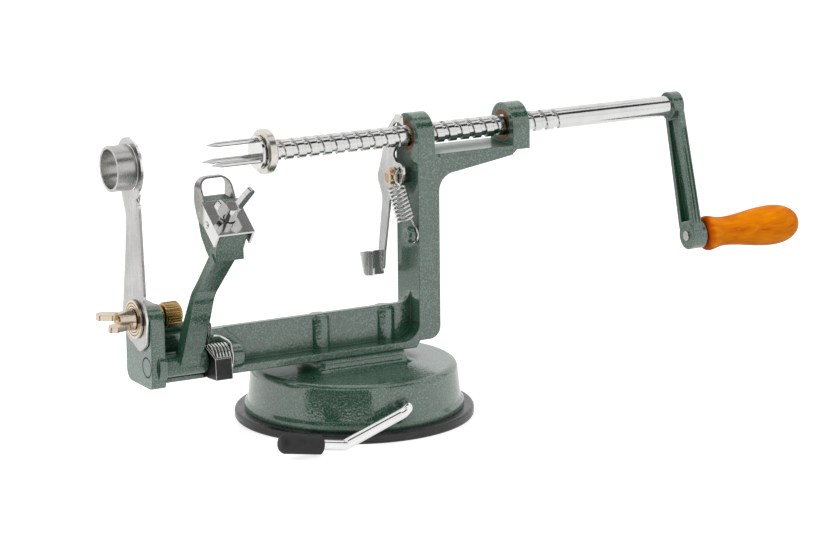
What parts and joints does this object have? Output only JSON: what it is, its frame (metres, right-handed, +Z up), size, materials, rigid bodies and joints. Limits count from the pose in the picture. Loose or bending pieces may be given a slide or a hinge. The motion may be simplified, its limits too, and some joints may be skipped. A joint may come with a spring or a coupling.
{
  "type": "hand cranked food peeler",
  "caption": "Hand-cranked peeler on a suction base: a threaded shaft with a fork, a sprung peeling arm, a slicing blade and a wooden crank handle.",
  "frame": {"origin": "centre of the round base, on the surface it stands on", "axes": "+X along the shaft towards the crank, +Z up, +Y towards the back of the frame"},
  "size_m": [0.3485, 0.1175, 0.138],
  "materials": {
    "green_paint": "dark green hammered paint, glossy",
    "black_rubber": "smooth, slightly glossy",
    "zinc_steel": "zinc plated",
    "polished_steel": "chrome plated, mirror bright",
    "satin_nickel": "matte nickel",
    "stamped_steel": "nickel plated stamping",
    "blade_steel": "ground and brushed",
    "pale_brass": "thinly nickel plated brass",
    "yellow_brass": "bright brass, knurled",
    "bronze": "oiled bronze",
    "black_steel": "blackened sheet, bright cut edges",
    "varnished_wood": "orange varnish, glossy"
  },
  "bodies": {
    "frame": {"base_housing": "green_paint", "suction_disc": "black_rubber", "base_screws": "zinc_steel", "frame_casting": "green_paint", "front_bush": "bronze", "rear_bush": "bronze", "spring_stud": "green_paint", "release_pivot": "zinc_steel", "release_nut": "pale_brass", "release_spring": "polished_steel", "arm_spring": "polished_steel", "blade_bolt": "yellow_brass", "blade_washer": "pale_brass"},
    "suction_lever": {"suction_lever": "polished_steel", "lever_grip": "black_rubber", "lever_cam": "zinc_steel"},
    "plunger": {"plunger": "zinc_steel"},
    "feed": {"backing_disc": "satin_nickel"},
    "screw": {"lead_screw": "polished_steel", "fork": "polished_steel", "crank_arm": "green_paint", "handle_pin": "polished_steel"},
    "handle": {"handle_grip": "varnished_wood"},
    "release": {"release_lever": "stamped_steel"},
    "swing_arm": {"peeling_arm": "green_paint", "arm_shaft": "green_paint"},
    "blade_carrier": {"blade_bracket": "polished_steel", "peeling_blade": "blade_steel", "blade_rivets": "polished_steel"},
    "wing_screw": {"wing_screw": "polished_steel"},
    "latch": {"latch_lever": "black_steel"},
    "slicer": {"slicing_blade": "blade_steel", "coring_ring": "blade_steel"},
    "wing_nut": {"wing_nut": "pale_brass"}
  },
  "joints": [
    {"name": "lever_turn", "type": "hinge", "parent": "frame", "child": "suction_lever", "pos_m": [0, 0, 0.015], "axis": [0, 1, 0], "range_deg": [0, 180]},
    {"name": "plunger_lift", "type": "slide", "parent": "frame", "child": "plunger", "axis": [0, 0, 1], "range_m": [0, 0.00305]},
    {"name": "screw_feed", "type": "slide", "parent": "frame", "child": "feed", "axis": [1, 0, 0], "range_m": [-0.0594, 0.0509]},
    {"name": "crank_turn", "type": "hinge", "parent": "feed", "child": "screw", "pos_m": [0, 0, 0.125], "axis": [1, 0, 0], "range_deg": [-3360, 2880]},
    {"name": "handle_spin", "type": "hinge", "parent": "screw", "child": "handle", "pos_m": [0.2, -0.01786, 0.06657], "axis": [1, 0, 0], "continuous": true},
    {"name": "release_turn", "type": "hinge", "parent": "frame", "child": "release", "pos_m": [0.0245, 0.004, 0.106], "axis": [1, 0, 0], "range_deg": [-10, 0], "stiffness_Nm_per_rad": 0.12, "springref_deg": 20.05, "deforming": ["release_spring"]},
    {"name": "arm_swing", "type": "hinge", "parent": "frame", "child": "swing_arm", "pos_m": [-0.0885, -0.0105, 0.0375], "axis": [1, 0, 0], "range_deg": [-14, 25], "stiffness_Nm_per_rad": 0.15, "springref_deg": -5.16, "deforming": ["arm_spring"]},
    {"name": "holder_slide", "type": "slide", "parent": "swing_arm", "child": "blade_carrier", "axis": [0, 0.8039, 0.5948], "range_m": [-0.0015, 0.0015]},
    {"name": "wing_screw_turn", "type": "hinge", "parent": "swing_arm", "child": "wing_screw", "pos_m": [-0.0864, -0.0515, 0.1091], "axis": [0, -0.5948, 0.8039], "continuous": true},
    {"name": "latch_turn", "type": "hinge", "parent": "frame", "child": "latch", "pos_m": [-0.0788, -0.0105, 0.0375], "axis": [1, 0, 0], "range_deg": [-20, 8]},
    {"name": "slicer_swing", "type": "hinge", "parent": "frame", "child": "slicer", "pos_m": [-0.108, -0.003, 0.058], "axis": [-1, 0, 0], "range_deg": [0, 80]},
    {"name": "wing_nut_turn", "type": "hinge", "parent": "frame", "child": "wing_nut", "pos_m": [-0.114, -0.003, 0.058], "axis": [1, 0, 0], "continuous": true}
  ],
  "couplings": [
    {"joint": "plunger_lift", "follows": "lever_turn", "m_per_rad": 0.00095493},
    {"joint": "screw_feed", "follows": "crank_turn", "m_per_rad": 0.0010106}
  ]
}
